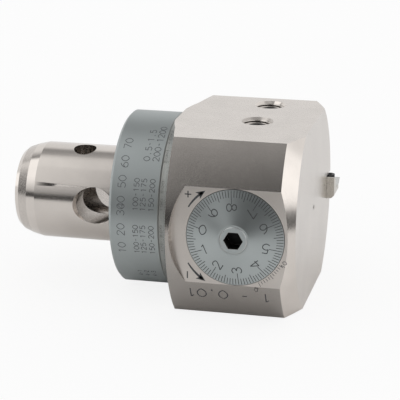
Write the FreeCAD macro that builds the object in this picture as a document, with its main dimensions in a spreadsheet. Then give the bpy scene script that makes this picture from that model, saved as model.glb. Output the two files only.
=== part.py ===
import FreeCAD, Part
import math
import os
import Sketcher

# Fine-adjustment boring head with a 36 mm spigot connection.
# Frame: origin at the centre of the flange face, +X along the tool axis towards the cutting
# face, +Z up through the clamping flat, -Y towards the graduated dial.  Millimetres.

doc = FreeCAD.newDocument("boring_head")
V = FreeCAD.Vector

SIZES = [
    # spigot
    ("spigot_radius", 18.0), ("spigot_land", 32.3), ("lead_length", 3.5), ("lead_drop", 0.8),
    ("nose_length", 3.5), ("nose_drop", 1.3), ("rim_length", 1.6), ("rim_drop", 1.3),
    ("core_radius", 8.2), ("core_floor", 6.0), ("lock_bore_x", 9.4), ("lock_bore_radius", 7.0),
    ("lock_sink_rise", 1.1), ("lock_sink_depth", 1.3), ("index_hole_x", 16.6),
    ("index_hole_radius", 4.2), ("index_hole_angle", 10.5), ("head_seam", 46.0),
    # flange and data sleeve
    ("sleeve_radius", 32.0), ("sleeve_wall", 4.0), ("sleeve_start", 0.2), ("sleeve_width", 18.6),
    ("sleeve_chamfer", 1.0), ("sleeve_front_chamfer", 0.4), ("sleeve_gap", 0.5), ("fit", 0.05),
    # turned head
    ("shoulder_rise", 1.3), ("rear_inner_length", 2.6), ("rear_inner_rise", 4.0),
    ("rear_outer_length", 2.6), ("barrel_radius", 44.8), ("barrel_length", 40.3),
    ("front_cone_length", 4.7), ("front_cone_drop", 6.7), ("flat_rise", 0.2), ("dial_flat_drop", 3.6),
    ("flat_cutter_radius", 31.8), ("flat_cutter_x", 57.5), ("dimple_radius", 0.9), ("dimple_depth", 1.6),
    # dial
    ("dial_x", 48.8), ("dial_radius", 17.4), ("dial_proud", 0.1), ("dial_height", 3.2),
    ("dial_land_rise", 0.6), ("dial_gap", 0.2), ("recess_depth", 7.0), ("dial_back_gap", 0.7),
    ("seal_cord", 0.72),
    # adjusting screw and its bearings, from the dial inwards
    ("hub_radius", 5.0), ("hub_proud", 0.4), ("socket_flats", 6.0), ("socket_depth", 5.5),
    ("ring_radius", 13.0), ("ring_thickness", 3.8), ("ring_wall", 5.8), ("neck_gap", 0.8),
    ("spanner_hole_radius", 1.2), ("washer_radius", 11.6), ("washer_bore_radius", 6.7),
    ("washer_thickness", 1.0), ("flange_radius", 11.0), ("flange_thickness", 3.0),
    ("spring_thickness", 0.7), ("spring_dish", 0.35), ("journal_radius", 6.0), ("bush_wall", 2.0),
    ("bush_length", 4.2), ("thread_radius", 5.0), ("thread_length", 42.0),
    # tool carrier
    ("carrier_radius", 12.95), ("carrier_play", 1.0), ("carrier_reach", 29.6), ("clamp_flat", 10.0),
    ("screw_room", 0.7), ("screw_room_end", 2.4), ("nut_wall", 3.6), ("nut_length", 14.0),
    ("carrier_travel", 26.5), ("guide_y", 14.0), ("guide_slot_width", 5.0), ("guide_slot_depth", 3.15),
    ("wiper_cord", 0.78), ("wiper_y", 27.5), ("wiper_groove_depth", 1.6),
    # clamping from the top flat
    ("clamp_near", 3.3), ("clamp_far", 21.35), ("clamp_radius", 5.0),
    ("clamp_recess", 1.8), ("clamp_length", 11.8), ("clamp_sink", 0.8), ("clamp_socket", 5.0),
    ("clamp_socket_depth", 5.0), ("pad_radius", 3.9), ("pad_play", 0.1),
    # guide screws from the bottom flat
    ("guide_radius", 4.0), ("guide_recess", 0.4), ("guide_lock_length", 4.25), ("dog_radius", 2.42),
    ("dog_length", 4.8), ("dog_play", 0.4), ("guide_socket", 4.0), ("guide_socket_depth", 3.5),
    # insert holder and its fasteners
    ("holder_rear", 34.0), ("holder_proud", 2.9), ("holder_top", 2.8), ("holder_bottom", 5.5),
    ("holder_tip_inset", 0.5), ("holder_gap", 0.4), ("slot_play", 0.3), ("slot_rear_gap", 2.0),
    ("holder_relief", 0.4), ("holder_bevel", 1.1), ("holder_rise", 1.2), ("bolt_pitch", 8.2), ("bolt_drop", 1.7),
    ("bolt_radius", 2.0), ("bolt_head_radius", 3.5), ("bolt_head_height", 4.0), ("bolt_bury", 4.4),
    ("bolt_grip", 8.0), ("bolt_socket", 3.0), ("dowel_pitch", 3.5), ("dowel_radius", 1.5),
    ("dowel_bury", 4.0), ("ream", 0.02),
    # cutting insert
    ("tip_proud", 3.5), ("tip_y", 40.5), ("insert_edge", 6.45), ("insert_lead", 5.0),
    ("insert_thickness", 2.38), ("insert_nose", 0.4), ("insert_clearance", 7.0),
    ("insert_hole_radius", 1.4), ("insert_head_radius", 1.9), ("insert_sink_depth", 1.0),
    ("insert_screw_radius", 1.15), ("insert_screw_proud", 2.0), ("insert_key", 1.8),
    ("insert_key_depth", 1.6),
]

# Stations that follow from the sizes above.
DERIVED = {
    "lead_end": "spigot_land + lead_length",
    "nose_start": "lead_end + nose_length",
    "spigot_length": "nose_start + rim_length",
    "lead_radius": "spigot_radius - lead_drop",
    "nose_radius": "lead_radius - nose_drop",
    "neck_radius": "sleeve_radius - sleeve_wall",
    "sleeve_end": "sleeve_start + sleeve_width",
    "shoulder_x": "sleeve_end + sleeve_gap",
    "shoulder_radius": "sleeve_radius + shoulder_rise",
    "rear_mid_x": "shoulder_x + rear_inner_length",
    "rear_mid_radius": "shoulder_radius + rear_inner_rise",
    "barrel_start": "rear_mid_x + rear_outer_length",
    "barrel_end": "barrel_start + barrel_length",
    "face_x": "barrel_end + front_cone_length",
    "flat_height": "sleeve_radius + flat_rise",
    "dial_flat": "barrel_radius - dial_flat_drop",
    "recess_floor": "dial_flat - recess_depth",
    "dial_rim": "dial_flat + dial_proud",
    "dial_crown": "dial_rim + dial_height",
    "dial_back": "recess_floor + dial_back_gap",
    "seal_station": "dial_back + seal_cord + 1.2",
    "seal_orbit": "dial_radius - seal_cord - 0.08",
    "hub_top": "dial_crown + hub_proud",
    "ring_back": "recess_floor - ring_thickness",
    "ring_bore_radius": "ring_radius - ring_wall",
    "flange_outer": "ring_back - washer_thickness - fit",
    "flange_inner": "flange_outer - flange_thickness",
    "spring_start": "flange_inner - washer_thickness - 2 * fit",
    "chamber_floor": "spring_start - spring_thickness - spring_dish - fit",
    "bush_radius": "journal_radius + bush_wall",
    "bore_end": "chamber_floor - bush_length",
    "bore_radius": "carrier_radius + fit",
    "carrier_inner": "bore_end - carrier_play",
    "screw_end": "thread_length - bore_end",
    "nut_radius": "thread_radius + nut_wall",
    "wiper_orbit": "bore_radius + wiper_cord + 0.02",
    "clamp_top": "flat_height - clamp_recess",
    "clamp_end": "clamp_top - clamp_length",
    "guide_base": "flat_height - guide_recess - guide_lock_length",
    "slot_roof": "carrier_radius - guide_slot_depth",
    "holder_front": "face_x + holder_proud",
    "holder_outer": "tip_y - holder_tip_inset",
    "bolt_seat": "holder_outer - bolt_bury",
    "tip_x": "face_x + tip_proud",
    "insert_left": "tip_x - insert_edge",
}


ALIASES = {alias for alias, _ in SIZES}


def make_sheet():
    sheet = doc.addObject("Spreadsheet::Sheet", "Sizes")
    for row, (alias, value) in enumerate(SIZES, start=1):
        sheet.set("A%d" % row, alias)
        sheet.set("B%d" % row, repr(value))
        sheet.setAlias("B%d" % row, alias)
    doc.recompute()
    return sheet


SHEET = make_sheet()


def cell(text):
    """Turn 'face_x - 2 * fit' into an expression that reads the sheet."""
    out, word = "", ""
    for char in text + " ":
        if char.isalnum() or char == "_":
            word += char
            continue
        if word in DERIVED:
            out += "(" + cell(DERIVED[word]) + ")"
        else:
            out += "Sizes." + word if word in ALIASES else word
        out += char
        word = ""
    return out.strip()


def number(text):
    """The value of such a text, for the starting geometry of a sketch."""
    probe = SHEET.evalExpression(cell(text))
    return float(getattr(probe, "Value", probe))


# ---------------------------------------------------------------- sketches and features

def new_body(label):
    body = doc.addObject("PartDesign::Body", label)
    body.Label = label
    return body


def plane(body, role):
    return next(f for f in body.Origin.OriginFeatures if f.Role == role)


def new_sketch(body, name, role, offset=None):
    sketch = body.newObject("Sketcher::SketchObject", name)
    sketch.AttachmentSupport = [(plane(body, role), "")]
    sketch.MapMode = "FlatFace"
    if offset:
        sketch.setExpression("AttachmentOffset.Base.z", cell(offset))
    return sketch


def pin_point(sketch, geo, pos, x, y):
    """Hold one sketch point at the coordinates given by two texts."""
    for kind, text, axis in (("DistanceX", x, -2), ("DistanceY", y, -1)):
        if text == "0":
            sketch.addConstraint(Sketcher.Constraint("PointOnObject", geo, pos, axis))
            continue
        index = sketch.addConstraint(Sketcher.Constraint(kind, -1, 1, geo, pos, number(text)))
        sketch.setExpression("Constraints[%d]" % index, cell(text))


def polygon(sketch, points):
    """Closed outline through points given as pairs of texts."""
    spots = [V(number(x), number(y), 0) for x, y in points]
    first = sketch.GeometryCount
    count = len(spots)
    for i in range(count):
        sketch.addGeometry(Part.LineSegment(spots[i], spots[(i + 1) % count]), False)
    for i in range(count):
        end = (first + i, 2, first + (i + 1) % count, 1)
        sketch.addConstraint(Sketcher.Constraint("Coincident", *end))
    for i, (x, y) in enumerate(points):
        pin_point(sketch, first + i, 1, x, y)


def circle(sketch, x, y, radius):
    geo = sketch.addGeometry(Part.Circle(V(number(x), number(y), 0), V(0, 0, 1), number(radius)), False)
    pin_point(sketch, geo, 3, x, y)
    index = sketch.addConstraint(Sketcher.Constraint("Radius", geo, number(radius)))
    sketch.setExpression("Constraints[%d]" % index, cell(radius))


def rectangle(sketch, x0, y0, x1, y1):
    polygon(sketch, [(x0, y0), (x1, y0), (x1, y1), (x0, y1)])


def hexagon(sketch, x, y, flats):
    """Regular hexagon across the given flats, corners on the sketch's X direction."""
    corner = "(%s) / 1.7320508" % flats
    half = "(%s) / 2" % flats
    spots = [(corner, "0"), ("%s / 2" % corner, half), ("-%s / 2" % corner, half)]
    spots += [("-%s" % corner, "0"), ("-%s / 2" % corner, "-%s" % half), ("%s / 2" % corner, "-%s" % half)]
    outline = []
    for dx, dy in spots:
        px = dx if x == "0" else "%s + %s" % (x, dx)
        py = dy if y == "0" else (y if dy == "0" else "%s + %s" % (y, dy))
        outline.append((px, py))
    polygon(sketch, outline)


def turned(body, name, points, seam=None):
    """Revolve a half outline, given along and out from the body's X axis, starting at the seam."""
    sketch = new_sketch(body, name + "_outline", "XY_Plane")
    if seam:
        sketch.AttachmentOffset = FreeCAD.Placement(V(0, 0, 0), FreeCAD.Rotation(V(1, 0, 0), 0))
        sketch.setExpression("AttachmentOffset.Rotation.Angle", cell(seam))
    polygon(sketch, points)
    solid = body.newObject("PartDesign::Revolution", name)
    solid.Profile = sketch
    solid.ReferenceAxis = (sketch, ["H_Axis"])
    solid.Angle = 360.0
    doc.recompute()
    return solid


def cut(body, name, sketch, depth, along=False):
    """Pocket of the given depth, against the sketch's normal or along it."""
    before = body.Shape.Volume
    pocket = body.newObject("PartDesign::Pocket", name)
    pocket.Profile = sketch
    pocket.Type = "Length"
    pocket.setExpression("Length", cell(depth))
    pocket.Reversed = along
    doc.recompute()
    if before - body.Shape.Volume < 1e-3:
        raise RuntimeError("pocket %s removes nothing" % name)
    return pocket


def pad(body, name, sketch, height, reverse=False):
    block = body.newObject("PartDesign::Pad", name)
    block.Profile = sketch
    block.setExpression("Length", cell(height))
    block.Reversed = reverse
    doc.recompute()
    return block


def stand_on_y(body, x="dial_x", z="0"):
    """Place a body turned about its own X axis so that the axis runs along +Y."""
    body.Placement = FreeCAD.Placement(V(0, 0, 0), FreeCAD.Rotation(V(0, 0, 1), 90))
    move(body, x, "0", z)


def stand_on_z(body, x, y, z="0"):
    """Place a body turned about its own X axis so that the axis runs along +Z."""
    body.Placement = FreeCAD.Placement(V(0, 0, 0), FreeCAD.Rotation(V(0, 1, 0), -90))
    move(body, x, y, z)


def move(thing, x, y, z):
    for axis, text in zip("xyz", (x, y, z)):
        if text != "0":
            thing.setExpression("Placement.Base." + axis, cell(text))


# ---------------------------------------------------------------- head

def head_blank(body):
    turned(body, "turned_head", [
        ("-spigot_length", "core_radius"), ("-spigot_length", "nose_radius - rim_drop"),
        ("-nose_start", "nose_radius"), ("-lead_end", "lead_radius"),
        ("-spigot_land", "spigot_radius"), ("0", "spigot_radius"), ("0", "neck_radius"),
        ("shoulder_x", "neck_radius"), ("shoulder_x", "shoulder_radius"),
        ("rear_mid_x", "rear_mid_radius"), ("barrel_start", "barrel_radius"),
        ("barrel_end", "barrel_radius"), ("face_x", "barrel_radius - front_cone_drop"),
        ("face_x", "0"), ("core_floor", "0"), ("core_floor", "core_radius")], "head_seam")
    flats = new_sketch(body, "flats_outline", "YZ_Plane")
    rectangle(flats, "-barrel_radius", "flat_height", "barrel_radius", "barrel_radius + 1")
    rectangle(flats, "-barrel_radius", "-barrel_radius - 1", "barrel_radius", "-flat_height")
    cut(body, "flats", flats, "face_x + 1", along=True)
    face = new_sketch(body, "dial_flat_outline", "XZ_Plane", "dial_flat")
    circle(face, "flat_cutter_x", "0", "flat_cutter_radius")
    cut(body, "dial_flat", face, "dial_flat_drop + 1", along=True)


def dial_side_bores(body):
    """Recess, bearing chamber, bush seat and carrier bore, all on the adjusting axis."""
    steps = [
        ("dial_recess", "recess_floor", "dial_radius + dial_gap", "dial_flat - recess_floor + 5"),
        ("bearing_chamber", "chamber_floor", "ring_radius + fit", "recess_floor - chamber_floor + 5"),
        ("bush_seat", "bore_end - 0.5", "bush_radius + fit", "bush_length + 5")]
    for name, station, radius, depth in steps:
        sketch = new_sketch(body, name + "_outline", "XZ_Plane", station)
        circle(sketch, "dial_x", "0", radius)
        cut(body, name, sketch, depth, along=True)
    sketch = new_sketch(body, "carrier_bore_outline", "XZ_Plane", "bore_end")
    circle(sketch, "dial_x", "0", "bore_radius")
    cut(body, "carrier_bore", sketch, "bore_end + barrel_radius + 5")
    sketch = new_sketch(body, "wiper_groove_outline", "XZ_Plane", "-wiper_y - wiper_cord - 0.1")
    circle(sketch, "dial_x", "0", "bore_radius + wiper_groove_depth")
    cut(body, "wiper_groove", sketch, "2 * wiper_cord + 0.2", along=True)


def holder_slot(body):
    sketch = new_sketch(body, "holder_slot_outline", "XZ_Plane", "-carrier_reach + slot_play")
    rectangle(sketch, "holder_rear - slot_rear_gap", "-holder_bottom - holder_gap",
              "face_x + 5", "holder_top + holder_gap")
    cut(body, "holder_slot", sketch, "barrel_radius")


def top_holes(body):
    """Two clamp screw holes with a counter-sink, each opening into a closer pad bore."""
    sketch = new_sketch(body, "clamp_hole_centres", "XY_Plane", "flat_height")
    circle(sketch, "dial_x", "-clamp_near", "clamp_radius")
    circle(sketch, "dial_x", "clamp_far", "clamp_radius")
    hole = body.newObject("PartDesign::Hole", "clamp_holes")
    hole.Profile = sketch
    doc.recompute()
    hole.DepthType = "Dimension"
    hole.setExpression("Depth", cell("flat_height - clamp_end + 0.6"))
    hole.DrillPoint = "Flat"
    hole.HoleCutType = "Countersink"
    hole.setExpression("Diameter", cell("2 * clamp_radius + 2 * fit"))
    hole.setExpression("HoleCutDiameter", cell("2 * clamp_radius + 2 * fit + 2 * clamp_sink"))
    hole.HoleCutCountersinkAngle = 90
    sketch = new_sketch(body, "pad_bore_outline", "XY_Plane", "clamp_flat - 1")
    circle(sketch, "dial_x", "-clamp_near", "pad_radius + pad_play")
    circle(sketch, "dial_x", "clamp_far", "pad_radius + pad_play")
    cut(body, "pad_bores", sketch, "clamp_end - clamp_flat + 1", along=True)
    sketch = new_sketch(body, "guide_hole_outline", "XY_Plane", "-flat_height")
    circle(sketch, "dial_x", "guide_y", "guide_radius + fit")
    cut(body, "guide_hole", sketch, "flat_height - bore_radius + 1.5", along=True)


def spigot_holes(body):
    sketch = new_sketch(body, "lock_bore_outline", "XZ_Plane", "spigot_radius + 1")
    circle(sketch, "-lock_bore_x", "0", "lock_bore_radius")
    cut(body, "lock_bore", sketch, "2 * spigot_radius + 2")
    sketch = new_sketch(body, "lock_sink_outline", "XZ_Plane", "spigot_radius")
    circle(sketch, "-lock_bore_x", "0", "lock_bore_radius + lock_sink_rise")
    sink = cut(body, "lock_sink", sketch, "lock_sink_depth")
    sink.TaperAngle = -40.0
    doc.recompute()
    sketch = new_sketch(body, "index_hole_outline", "XY_Plane")
    sketch.AttachmentOffset = FreeCAD.Placement(V(0, 0, 0), FreeCAD.Rotation(V(1, 0, 0), 0))
    sketch.setExpression("AttachmentOffset.Rotation.Angle", cell("index_hole_angle"))
    circle(sketch, "-index_hole_x", "0", "index_hole_radius")
    cut(body, "index_hole", sketch, "spigot_radius + 1", along=True)
    sketch = new_sketch(body, "centre_dimple_outline", "YZ_Plane", "face_x")
    circle(sketch, "0", "0", "dimple_radius")
    cut(body, "centre_dimple", sketch, "dimple_depth")


def head_body():
    body = new_body("head_body")
    head_blank(body)
    dial_side_bores(body)
    holder_slot(body)
    top_holes(body)
    spigot_holes(body)
    return body


def data_sleeve():
    body = new_body("data_sleeve")
    turned(body, "turned_sleeve", [
        ("sleeve_start", "neck_radius + fit"), ("sleeve_start", "sleeve_radius - sleeve_chamfer"),
        ("sleeve_start + sleeve_chamfer", "sleeve_radius"),
        ("sleeve_end - sleeve_front_chamfer", "sleeve_radius"),
        ("sleeve_end", "sleeve_radius - sleeve_front_chamfer"), ("sleeve_end", "neck_radius + fit")])
    return body


# ---------------------------------------------------------------- adjusting train

def dial_ring():
    body = new_body("dial_ring")
    turned(body, "turned_dial", [
        ("-dial_back", "hub_radius + fit"), ("-dial_back", "dial_radius"),
        ("-dial_rim", "dial_radius"), ("-dial_crown", "hub_radius + dial_land_rise"),
        ("-dial_crown", "hub_radius + fit")])
    groove = new_sketch(body, "seal_groove_outline", "XY_Plane")
    rectangle(groove, "-seal_station - seal_cord - fit", "seal_orbit - seal_cord - fit",
              "-seal_station + seal_cord + fit", "dial_radius + 1")
    ring = body.newObject("PartDesign::Groove", "seal_groove")
    ring.Profile = groove
    ring.ReferenceAxis = (groove, ["H_Axis"])
    ring.Angle = 360.0
    stand_on_y(body)
    return body


def adjusting_screw():
    """Hub with the hex socket, thrust flange, journal and fine-pitch thread in one piece."""
    body = new_body("adjusting_screw")
    turned(body, "turned_screw", [
        ("-hub_top", "0"), ("-hub_top", "hub_radius - 0.3"), ("-hub_top + 0.3", "hub_radius"),
        ("-dial_back + 0.1", "hub_radius"), ("-dial_back + 0.1", "ring_bore_radius - neck_gap"),
        ("-flange_outer", "ring_bore_radius - neck_gap"), ("-flange_outer", "flange_radius"),
        ("-flange_inner", "flange_radius"), ("-flange_inner", "journal_radius"),
        ("-bore_end", "journal_radius"), ("-bore_end", "thread_radius"),
        ("screw_end - 0.8", "thread_radius"), ("screw_end", "thread_radius - 0.8"),
        ("screw_end", "0")])
    sketch = new_sketch(body, "socket_outline", "YZ_Plane", "-hub_top")
    hexagon(sketch, "0", "0", "socket_flats")
    cut(body, "hex_socket", sketch, "socket_depth", along=True)
    stand_on_y(body)
    return body


def thrust_washer(label, start):
    body = new_body(label)
    turned(body, label + "_turned", [
        (start, "washer_bore_radius"), (start, "washer_radius"),
        (start + " + washer_thickness", "washer_radius"),
        (start + " + washer_thickness", "washer_bore_radius")])
    stand_on_y(body)
    return body


def disc_spring():
    """Conical spring washer between the inner thrust washer and the chamber floor."""
    body = new_body("disc_spring")
    start = "-spring_start"
    turned(body, "dished_washer", [
        (start + " + spring_dish", "washer_bore_radius"), (start, "washer_radius"),
        (start + " + spring_thickness", "washer_radius"),
        (start + " + spring_dish + spring_thickness", "washer_bore_radius")])
    stand_on_y(body)
    return body


def retaining_ring():
    body = new_body("retaining_ring")
    turned(body, "turned_ring", [
        ("-recess_floor", "ring_bore_radius"), ("-recess_floor", "ring_radius"),
        ("-ring_back", "ring_radius"), ("-ring_back", "ring_bore_radius")])
    sketch = new_sketch(body, "spanner_hole_outline", "YZ_Plane", "-recess_floor")
    circle(sketch, "(ring_radius + ring_bore_radius) / 2", "0", "spanner_hole_radius")
    hole = cut(body, "spanner_hole", sketch, "ring_thickness + 1", along=True)
    pattern = body.newObject("PartDesign::PolarPattern", "spanner_holes")
    pattern.Originals = [hole]
    pattern.Axis = (sketch, ["N_Axis"])
    pattern.Angle = 360.0
    pattern.Occurrences = 4
    body.Tip = pattern
    stand_on_y(body)
    return body


def journal_bush():
    body = new_body("journal_bush")
    turned(body, "turned_bush", [
        ("-chamber_floor", "journal_radius + fit"), ("-chamber_floor", "bush_radius"),
        ("-bore_end", "bush_radius"), ("-bore_end", "journal_radius + fit")])
    stand_on_y(body)
    return body


def seal_ring(label, orbit, cord, station):
    """Rubber ring of square section."""
    body = new_body(label)
    inner, outer = "%s - %s" % (orbit, cord), "%s + %s" % (orbit, cord)
    back, front = "%s - %s" % (station, cord), "%s + %s" % (station, cord)
    turned(body, label + "_turned", [(back, inner), (back, outer), (front, outer), (front, inner)])
    stand_on_y(body)
    return body


# ---------------------------------------------------------------- tool carrier

def tool_carrier():
    body = new_body("tool_carrier")
    turned(body, "turned_bar", [
        ("-carrier_inner", "0"), ("-carrier_inner", "carrier_radius - 0.6"),
        ("-carrier_inner + 0.6", "carrier_radius"), ("carrier_reach", "carrier_radius"),
        ("carrier_reach", "0")])
    stand_on_y(body)
    bore = new_sketch(body, "screw_bore_outline", "YZ_Plane", "-carrier_inner")
    circle(bore, "0", "0", "thread_radius + screw_room")
    cut(body, "screw_bore", bore, "carrier_inner + screw_end + screw_room_end", along=True)
    seat = new_sketch(body, "nut_seat_outline", "YZ_Plane", "-carrier_inner")
    circle(seat, "0", "0", "nut_radius + fit")
    cut(body, "nut_seat", seat, "nut_length", along=True)
    top = new_sketch(body, "clamp_flat_outline", "YZ_Plane", "-carrier_inner")
    rectangle(top, "-carrier_radius", "clamp_flat", "carrier_radius", "carrier_radius + 1")
    cut(body, "clamp_flat", top, "carrier_inner + carrier_reach", along=True)
    slot = new_sketch(body, "guide_slot_outline", "XY_Plane", "-slot_roof")
    rectangle(slot, "guide_y - carrier_travel - dog_radius - dog_play", "-guide_slot_width / 2",
              "guide_y + dog_radius + dog_play", "guide_slot_width / 2")
    cut(body, "guide_slot", slot, "carrier_radius")
    return body


def carrier_nut():
    body = new_body("carrier_nut")
    turned(body, "turned_nut", [
        ("-carrier_inner", "thread_radius + fit"), ("-carrier_inner", "nut_radius"),
        ("-carrier_inner + nut_length", "nut_radius"),
        ("-carrier_inner + nut_length", "thread_radius + fit")])
    stand_on_y(body)
    return body


# ---------------------------------------------------------------- set screws and pads

def clamp_screw(label, y):
    body = new_body(label)
    turned(body, label + "_turned", [
        ("clamp_end", "0"), ("clamp_end", "clamp_radius - 0.9"), ("clamp_end + 0.9", "clamp_radius"),
        ("clamp_top - 0.7", "clamp_radius"), ("clamp_top", "clamp_radius - 0.7"), ("clamp_top", "0")])
    sketch = new_sketch(body, label + "_socket", "YZ_Plane", "clamp_top")
    hexagon(sketch, "0", "0", "clamp_socket")
    cut(body, label + "_hex", sketch, "clamp_socket_depth")
    stand_on_z(body, "dial_x", y)
    return body


def clamp_pad(label, y):
    pad_rod = doc.addObject("Part::Cylinder", label)
    pad_rod.Label = label
    pad_rod.setExpression("Radius", cell("pad_radius"))
    pad_rod.setExpression("Height", cell("clamp_end - clamp_flat - 2 * fit"))
    move(pad_rod, "dial_x", y, "clamp_flat + fit")
    return pad_rod


def guide_screw():
    body = new_body("guide_screw")
    turned(body, "turned_dog_screw", [
        ("-guide_base", "0"), ("-guide_base", "guide_radius - 0.5"),
        ("-guide_base + 0.5", "guide_radius"), ("-bore_radius - 2.5", "guide_radius"),
        ("-bore_radius - 2", "guide_radius - 0.5"), ("-bore_radius - 2", "dog_radius"),
        ("-bore_radius - 2 + dog_length", "dog_radius"), ("-bore_radius - 2 + dog_length", "0")])
    sketch = new_sketch(body, "guide_socket_outline", "YZ_Plane", "-guide_base")
    hexagon(sketch, "0", "0", "guide_socket")
    cut(body, "guide_socket_hex", sketch, "guide_socket_depth", along=True)
    stand_on_z(body, "dial_x", "guide_y")
    return body


def guide_lock_screw():
    body = new_body("guide_lock_screw")
    turned(body, "turned_lock_screw", [
        ("guide_recess - flat_height", "0"), ("guide_recess - flat_height", "guide_radius - 0.5"),
        ("guide_recess - flat_height + 0.5", "guide_radius"),
        ("-guide_base - fit", "guide_radius"), ("-guide_base - fit", "0")])
    sketch = new_sketch(body, "lock_socket_outline", "YZ_Plane", "guide_recess - flat_height")
    hexagon(sketch, "0", "0", "guide_socket")
    cut(body, "lock_socket_hex", sketch, "guide_socket_depth - 0.8", along=True)
    stand_on_z(body, "dial_x", "guide_y")
    return body


# ---------------------------------------------------------------- insert holder

def insert_corners(gap="0"):
    """Corners of the 80 degree insert: tip, inner front, inner rear, outer rear."""
    lead = math.radians(number("insert_lead"))
    edge = number("insert_edge")
    front = V(-math.sin(lead), -math.cos(lead), 0) * edge
    side = V(-math.cos(lead), -math.sin(lead), 0) * edge
    tip = V(number("tip_x"), number("tip_y"), 0)
    return tip, tip + front, tip + front + side, tip + side


def drilled(name, base, tools):
    """Cut a list of shapes from a base, one Part::Cut after another."""
    for i, tool in enumerate(tools, start=1):
        step = doc.addObject("Part::Cut", "%s_cut%d" % (name, i))
        step.Base = base
        step.Tool = tool
        base = step
    return base


def rod(name, radius, length, x, y, z, along="Y"):
    tool = doc.addObject("Part::Cylinder", name)
    tool.setExpression("Radius", cell(radius))
    tool.setExpression("Height", cell(length))
    if along == "Y":
        tool.Placement = FreeCAD.Placement(V(0, 0, 0), FreeCAD.Rotation(V(1, 0, 0), -90))
    move(tool, x, y, z)
    return tool


def insert_holder():
    body = new_body("holder_bar")
    sketch = new_sketch(body, "holder_outline", "XY_Plane", "-holder_bottom")
    polygon(sketch, [
        ("holder_rear", "carrier_reach"), ("holder_front", "carrier_reach"),
        ("tip_x - holder_tip_inset", "holder_outer"), ("holder_rear", "holder_outer")])
    pad(body, "holder_block", sketch, "holder_top + holder_bottom")
    slope = new_sketch(body, "shoulder_slope_outline", "YZ_Plane", "insert_left - 1")
    polygon(slope, [("carrier_reach + 0.6", "holder_top"), ("tip_y - insert_edge", "-holder_relief"),
                    ("tip_y", "-holder_relief"), ("tip_y", "holder_top")])
    cut(body, "shoulder_slope", slope, "tip_x - insert_left + 1", along=True)
    heel = new_sketch(body, "heel_slope_outline", "YZ_Plane", "holder_rear")
    polygon(heel, [("carrier_reach + 1", "-holder_bottom"), ("tip_y", "holder_rise - holder_bottom"),
                   ("tip_y", "-holder_bottom")])
    cut(body, "heel_slope", heel, "tip_x - holder_rear", along=True)
    bevel = new_sketch(body, "front_bevel_outline", "XZ_Plane", "-tip_y")
    polygon(bevel, [("holder_front - holder_bevel", "-holder_bottom"),
                    ("tip_x", "-holder_bottom + tip_x - holder_front + holder_bevel"),
                    ("tip_x", "-holder_bottom")])
    cut(body, "front_bevel", bevel, "tip_y - carrier_reach", along=True)
    corners = insert_corners()
    seat = new_sketch(body, "insert_seat_outline", "XY_Plane", "-insert_thickness")
    seat_outline(seat, corners)
    cut(body, "insert_seat", seat, "insert_thickness + holder_top", along=True)
    tools = []
    for side, sign in (("rear", "-"), ("front", "+")):
        x = "dial_x %s bolt_pitch" % sign
        tools.append(rod("bolt_hole_" + side, "bolt_radius + 0.15", "bolt_seat", x, "carrier_reach - 1",
                         "-bolt_drop"))
        tools.append(rod("bolt_sink_" + side, "bolt_head_radius + 0.2", "holder_outer", x, "bolt_seat",
                         "-bolt_drop"))
        x = "dial_x %s dowel_pitch" % sign
        tools.append(rod("dowel_hole_" + side, "dowel_radius + ream", "dowel_bury + 1.2", x,
                         "carrier_reach - 1", "-bolt_drop"))
    centre = (corners[0] + corners[2]) * 0.5
    hole = rod("insert_thread", "insert_screw_radius + fit", "holder_bottom + 1", "0", "0",
               "-holder_bottom - 1", "Z")
    hole.Placement.Base = V(centre.x, centre.y, -number("holder_bottom") - 1)
    tools.append(hole)
    holder = drilled("holder", body, tools)
    holder.Label = "insert_holder"
    return holder


def seat_outline(sketch, corners):
    """Insert seat with a running gap on its two inner walls and open to the outside."""
    tip, inner_front, inner_rear, outer_rear = corners
    gap = number("fit")
    back = (inner_rear - outer_rear).normalize()
    inner = (inner_rear - inner_front).normalize()
    a = inner_rear + back * gap + inner * gap
    b = a - inner * (number("insert_edge") + 6)
    c = b - back * (number("insert_edge") + 8)
    d = a - back * (number("insert_edge") + 8)
    spots = [a, b, c, d]
    for i in range(4):
        sketch.addGeometry(Part.LineSegment(spots[i], spots[(i + 1) % 4]), False)
    for i in range(4):
        sketch.addConstraint(Sketcher.Constraint("Coincident", i, 2, (i + 1) % 4, 1))
        sketch.addConstraint(Sketcher.Constraint("DistanceX", -1, 1, i, 1, spots[i].x))
        sketch.addConstraint(Sketcher.Constraint("DistanceY", -1, 1, i, 1, spots[i].y))


def holder_bolts():
    """Two M4 socket head screws through the holder into the carrier."""
    bolts = []
    for side, sign in (("rear", "-"), ("front", "+")):
        x = "dial_x %s bolt_pitch" % sign
        shank = rod("shank_" + side, "bolt_radius", "bolt_seat - carrier_reach + bolt_grip", x, "carrier_reach - bolt_grip", "-bolt_drop")
        head = rod("head_" + side, "bolt_head_radius", "bolt_head_height", x, "bolt_seat",
                   "-bolt_drop")
        key = doc.addObject("Part::Prism", "key_" + side)
        key.Polygon = 6
        key.setExpression("Circumradius", cell("bolt_socket / 1.7320508"))
        key.setExpression("Height", cell("bolt_head_height"))
        key.Placement = FreeCAD.Placement(V(0, 0, 0), FreeCAD.Rotation(V(1, 0, 0), -90))
        move(key, x, "bolt_seat + bolt_head_height / 2", "-bolt_drop")
        whole = doc.addObject("Part::Fuse", "bolt_solid_" + side)
        whole.Base = shank
        whole.Tool = head
        bolts.append(drilled("bolt_" + side, whole, [key]))
    return grouped("holder_bolts", bolts)


def grouped(label, solids):
    group = doc.addObject("Part::Compound", label)
    group.Label = label
    group.Links = solids
    return group


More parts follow.
